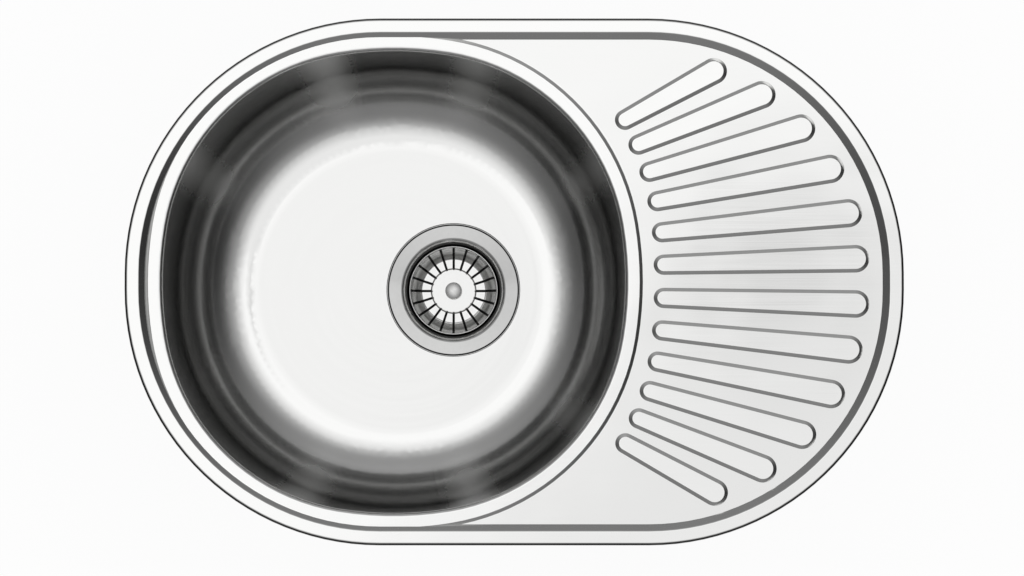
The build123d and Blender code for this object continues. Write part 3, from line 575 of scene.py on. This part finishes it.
# %% The ridges round the spigot
SPIGOT_R = 23.9 * MM
PROUD = 0.4 * MM
THREAD_MIDDLE = 10.5 * MM        # above the spigot's end
tree, size, tube = thread_rule("spigot_thread", "NONE", crest=SPIGOT_R + PROUD, depth=0.9 * MM,
                               pitch=2.309 * MM, length=18 * MM, rows=78, sides=72)
close_rule(tree, tube, plastic)
mesh = grow("spigot_thread", tree)
shape = bmesh.new()
shape.from_mesh(mesh)
bmesh.ops.bridge_loops(shape, edges=[edge for edge in shape.edges if edge.is_boundary])
bmesh.ops.recalc_face_normals(shape, faces=shape.faces)
shape.to_mesh(mesh)
shape.free()
spigot_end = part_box("waste_body")[0].z
mesh.transform(Matrix.Translation((drain_x, 0, spigot_end + THREAD_MIDDLE)))
ridges = bpy.data.objects.new("spigot_thread", mesh)
scene.collection.objects.link(ridges)
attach(ridges, "sink")
print("spigot thread", len(mesh.polygons), "faces", [round(v / MM, 1) for v in ridges.dimensions])

# %% [markdown]
# ## The foam strip under the rim
#
# A strip of closed-cell foam, 7 mm wide, is glued under the rim all the way
# round, and the sink's weight squeezes it down to the worktop. Its edges are
# soft, and its skin is uneven by a tenth of a millimetre in all. The rule
# carries a rounded section round the rim's outline, in steps of 2 mm, and moves
# each point a little by noise.

# %% The foam's rule
WIDE = 7 * MM
UNEVEN = 0.1 * MM
SOFT_EDGE_R = 0.6 * MM
tree, size = new_rule("foam_strip", along=0.6, across=0.4, corner=0.19, wide=WIDE, thick=2.2 * MM,
                      steps=880, uneven=UNEVEN, seed=3)
line = add(tree, "GeometryNodeCurvePrimitiveQuadrilateral",
           {"Width": size["along"], "Height": size["across"]})
line = add(tree, "GeometryNodeFilletCurve",
           {"Curve": line.outputs[0], "Count": 90, "Radius": size["corner"]}, mode="POLY")
line = add(tree, "GeometryNodeResampleCurve", {"Curve": line.outputs[0], "Count": size["steps"]})
section = add(tree, "GeometryNodeCurvePrimitiveQuadrilateral",
              {"Width": size["wide"], "Height": size["thick"]})
section = add(tree, "GeometryNodeFilletCurve",
              {"Curve": section.outputs[0], "Count": 3, "Radius": SOFT_EDGE_R}, mode="POLY")
skin = add(tree, "GeometryNodeCurveToMesh",
           {"Curve": line.outputs[0], "Profile Curve": section.outputs[0]})
noise = add(tree, "ShaderNodeTexNoise", {"W": size["seed"], "Scale": 180.0, "Detail": 1.0},
            noise_dimensions="4D")
push = add(tree, "ShaderNodeVectorMath", {0: noise.outputs["Color"], 1: (0.5, 0.5, 0.5)},
           operation="SUBTRACT")
push = add(tree, "ShaderNodeVectorMath", {0: push.outputs[0], "Scale": size["uneven"]}, operation="SCALE")
skin = add(tree, "GeometryNodeSetPosition", {"Geometry": skin.outputs[0], "Offset": push.outputs[0]})
skin = add(tree, "GeometryNodeSetShadeSmooth", {0: skin.outputs[0]})
close_rule(tree, skin.outputs[0], foam)
print("foam rule", len(tree.nodes), "nodes")

# %% The strip in place
low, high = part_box("rim_seal")
room = WIDE + UNEVEN             # what the strip and its noise need across
inset = cad_high.y - high.y + room / 2
mesh = grow("foam_strip", tree, along=high.x - low.x - room, across=high.y - low.y - room,
            corner=CORNER_R - inset, thick=high.z - low.z - UNEVEN)
mesh.transform(Matrix.Translation((low + high) / 2))
strip = set_piece("foam_strip", mesh, "sink", "rim_seal")
print("foam", len(mesh.polygons), "faces", [round(v / MM, 1) for v in strip.dimensions],
      "corner", round((CORNER_R - inset) / MM, 2))

# %% [markdown]
# ## The studio
#
# Steel shows little of its own: it shows what stands round it. So the studio is
# built for the steel. A white world gives the plain light by which every dull
# surface is seen. A shell of cards stands round the object, white overhead and
# falling to grey and almost black at the horizon, then paler again below it.
# The low cards are palest behind and in front, and darkest at the right. Only
# reflections see the shell, so it lights nothing else. From overhead to about
# 55 degrees its steps follow how the photograph's bowl darkens as its wall
# leans: that was measured, and the steps were tuned to it.

# %% The world's plain light
world = bpy.data.worlds.new("plain_light")
scene.world = world
world.use_nodes = True
world.node_tree.nodes["Background"].inputs["Color"].default_value = (1, 1, 1, 1)
world.node_tree.nodes["Background"].inputs["Strength"].default_value = 1.0
world.cycles.sampling_method = "NONE"
print("world", world.name)

# %% The shell of cards
SHELL_R = 20.0                   # metres
shell = bmesh.new()
bmesh.ops.create_icosphere(shell, subdivisions=4, radius=SHELL_R)
mesh = bpy.data.meshes.new("studio_cards")
shell.to_mesh(mesh)
shell.free()
cards = bpy.data.objects.new("studio_cards", mesh)
scene.collection.objects.link(cards)
cards.visible_camera = False
cards.visible_diffuse = False
cards.visible_shadow = False
cards.visible_transmission = False
print("cards", len(mesh.polygons), "faces")

# %% What the cards send back, by direction
glow = bpy.data.materials.new("graded_cards")
glow.use_nodes = True
glow.cycles.emission_sampling = "NONE"
tree = glow.node_tree
tree.nodes.clear()
place = add(tree, "ShaderNodeTexCoord").outputs["Object"]
unit = add(tree, "ShaderNodeVectorMath", {0: place}, operation="NORMALIZE")
parts = add(tree, "ShaderNodeSeparateXYZ", {"Vector": unit.outputs[0]})
lean = add(tree, "ShaderNodeMath", {0: parts.outputs["Z"]}, operation="ARCCOSINE")
share = add(tree, "ShaderNodeMath", {0: lean.outputs[0], 1: math.pi}, operation="DIVIDE")
ramp = add(tree, "ShaderNodeValToRGB", {"Fac": share.outputs[0]})
FALLS = [(0, 1.0), (5, 0.99), (8, 1.0), (12, 1.0), (17, 0.91), (22, 0.75), (27, 0.59), (31, 0.42),
         (36, 0.33), (41, 0.25), (46, 0.185), (52, 0.15), (62, 0.14), (72, 0.14), (80, 0.08),
         (88, 0.045), (94, 0.045), (105, 0.12), (118, 0.40), (140, 0.60), (180, 0.65)]
elements = ramp.color_ramp.elements
while len(elements) < len(FALLS):
    elements.new(0.5)
for element, (degrees, light) in zip(elements, FALLS):
    element.position = degrees / 180
    element.color = (light, light, light, 1)
print(len(FALLS), "steps from overhead to straight down")

# %% How the low cards differ by side
SIDE_LEAN = (-0.2, 0.3, 0)       # more light from the left, and from behind
ENDS_GAIN = 1.6                  # more from behind and in front than from the two sides
SIDE_BASE = 0.55
SIDES_START = 35                 # degrees from overhead, where the low cards begin to differ
SIDES_FULL = 60                  # and where they differ fully
HINT_START = 17                  # a hint of it comes higher up, from here
HINT_FULL = 25                   # to here
HINT = 0.12                      # and is this share of it
level = add(tree, "ShaderNodeCombineXYZ", {"X": parts.outputs["X"], "Y": parts.outputs["Y"]})
level = add(tree, "ShaderNodeVectorMath", {0: level.outputs[0]}, operation="NORMALIZE")
side = add(tree, "ShaderNodeVectorMath", {0: level.outputs[0], 1: SIDE_LEAN}, operation="DOT_PRODUCT")
ends = add(tree, "ShaderNodeVectorMath", {0: level.outputs[0], 1: (0, 1, 0)}, operation="DOT_PRODUCT")
ends = add(tree, "ShaderNodeMath", {0: ends.outputs["Value"], 1: 2.0}, operation="POWER")
ends = add(tree, "ShaderNodeMath",
           {0: ends.outputs[0], 1: ENDS_GAIN, 2: SIDE_BASE}, operation="MULTIPLY_ADD")
side = add(tree, "ShaderNodeMath", {0: side.outputs["Value"], 1: ends.outputs[0]}, operation="ADD")
steep = add(tree, "ShaderNodeMapRange",
            {"Value": lean.outputs[0], "From Min": math.radians(SIDES_START),
             "From Max": math.radians(SIDES_FULL)},
            interpolation_type="SMOOTHSTEP")
middle = add(tree, "ShaderNodeMapRange",
             {"Value": lean.outputs[0], "From Min": math.radians(HINT_START),
              "From Max": math.radians(HINT_FULL), "To Max": HINT})
depth = add(tree, "ShaderNodeMath", {0: steep.outputs[0], 1: middle.outputs[0]}, operation="MAXIMUM")
gain = add(tree, "ShaderNodeMix", {"Factor": depth.outputs[0], "A": 1.0, "B": side.outputs[0]})
light = add(tree, "ShaderNodeMath", {0: ramp.outputs["Color"], 1: gain.outputs[0]}, operation="MULTIPLY")
print("sides differ from", SIDES_START, "to", SIDES_FULL, "degrees below overhead")

# %% [markdown]
# Two parts of the shell are greyer still. One is a small patch just right of
# overhead and behind it. The other is the front half of the shell, and within
# a few degrees of overhead its edge turns by 45 degrees, to take in the right.

# %% Two greyer parts of the shell
PATCH = (0.074, 0.052, 0.996)    # the direction of the patch's middle
PATCH_R = 0.045                  # its size, as a distance on a ball of radius 1
PATCH_LEVEL = 0.71               # what is left of the light in its middle
FRONT_LEVEL = 0.84               # and in front
FRONT_FROM = -0.02               # where the front begins, as a share of the shell's radius
FRONT_TO = 0.03                  # and where it is fully grey
TURN_FULL = 6                    # degrees from overhead, where its edge is fully turned
TURN_GONE = 12                   # and where it no longer is
shade = add(tree, "ShaderNodeVectorMath", {0: unit.outputs[0], 1: PATCH}, operation="DISTANCE")
shade = add(tree, "ShaderNodeMapRange",
            {"Value": shade.outputs["Value"], "From Max": PATCH_R, "To Min": PATCH_LEVEL},
            interpolation_type="SMOOTHSTEP")
light = add(tree, "ShaderNodeMath", {0: light.outputs[0], 1: shade.outputs[0]}, operation="MULTIPLY")
near = add(tree, "ShaderNodeMapRange",
           {"Value": lean.outputs[0], "From Min": math.radians(TURN_FULL),
            "From Max": math.radians(TURN_GONE), "To Min": 1.0, "To Max": 0.0})
east = add(tree, "ShaderNodeMath", {0: parts.outputs["X"], 1: near.outputs[0]}, operation="MULTIPLY")
front = add(tree, "ShaderNodeMath", {0: east.outputs[0], 1: parts.outputs["Y"]}, operation="SUBTRACT")
front = add(tree, "ShaderNodeMapRange",
            {"Value": front.outputs[0], "From Min": FRONT_FROM, "From Max": FRONT_TO,
             "To Min": 1.0, "To Max": FRONT_LEVEL}, interpolation_type="SMOOTHSTEP")
light = add(tree, "ShaderNodeMath", {0: light.outputs[0], 1: front.outputs[0]}, operation="MULTIPLY")
emission = add(tree, "ShaderNodeEmission", {"Color": (1, 1, 1, 1), "Strength": light.outputs[0]})
add(tree, "ShaderNodeOutputMaterial", {"Surface": emission.outputs[0]})
cards.data.materials.append(glow)
print(glow.name, len(tree.nodes), "nodes")

# %% [markdown]
# ## The floor
#
# The object stands on a round white table in plain matt paint. The camera, the
# steel's reflections and anything seen through clear material show it mostly as
# full white, so that the object's shadow on it stays faint.

# %% The round white table
TABLE_R = 0.56                   # metres
WHITE_SHARE = 0.9                # the rest is paint, which keeps the shadow
disc = bmesh.new()
bmesh.ops.create_circle(disc, cap_ends=True, segments=96, radius=TABLE_R)
bmesh.ops.translate(disc, verts=disc.verts, vec=(0, 0, cad_low.z))
mesh = bpy.data.meshes.new("floor")
disc.to_mesh(mesh)
disc.free()
floor = bpy.data.objects.new("floor", mesh)
scene.collection.objects.link(floor)
print("table", 2 * TABLE_R, "m across")

# %% The table's paint
paint = bpy.data.materials.new("white_table")
paint.use_nodes = True
tree = paint.node_tree
tree.nodes.clear()
matt = add(tree, "ShaderNodeBsdfDiffuse", {"Color": linear("#FCFCFC")})
white = add(tree, "ShaderNodeEmission", {"Color": linear("#FEFEFE"), "Strength": 1.0})
rays = add(tree, "ShaderNodeLightPath")
seen = add(tree, "ShaderNodeMath",
           {0: rays.outputs["Is Camera Ray"], 1: rays.outputs["Is Glossy Ray"]}, operation="MAXIMUM")
seen = add(tree, "ShaderNodeMath",
           {0: seen.outputs[0], 1: rays.outputs["Is Transmission Ray"]}, operation="MAXIMUM")
seen = add(tree, "ShaderNodeMath", {0: seen.outputs[0], 1: WHITE_SHARE}, operation="MULTIPLY")
both = add(tree, "ShaderNodeMixShader",
           {"Fac": seen.outputs[0], 1: matt.outputs[0], 2: white.outputs[0]})
add(tree, "ShaderNodeOutputMaterial", {"Surface": both.outputs[0]})
mesh.materials.append(paint)
print(paint.name, len(tree.nodes), "nodes")

# %% [markdown]
# ## The camera
#
# The photograph looks almost straight down from 3.4 m above the rim, from a
# little in front of the middle. The lens is set from that distance and from
# the width that the photograph takes in.

# %% The camera
VIEW_WIDTH = 0.8533              # metres across the picture, at the rim
SENSOR = 36.0                    # mm
lens = bpy.data.cameras.new("camera")
camera = bpy.data.objects.new("camera", lens)
scene.collection.objects.link(camera)
scene.camera = camera
eye = Vector((-0.0061, -0.155, 3.403))
aim = Vector((-0.0019, -0.0058, 0.003))
back = (eye - aim).normalized()
right = Vector((0, 1, 0)).cross(back).normalized()
facing = Matrix((right, back.cross(right), back)).transposed()
camera.matrix_world = Matrix.Translation(eye) @ facing.to_4x4()
lens.sensor_width = SENSOR
lens.lens = SENSOR * (eye - aim).length / VIEW_WIDTH
lens.clip_end = 100.0
scene.view_settings.view_transform = "Standard"
print("lens", round(lens.lens, 1), "mm")
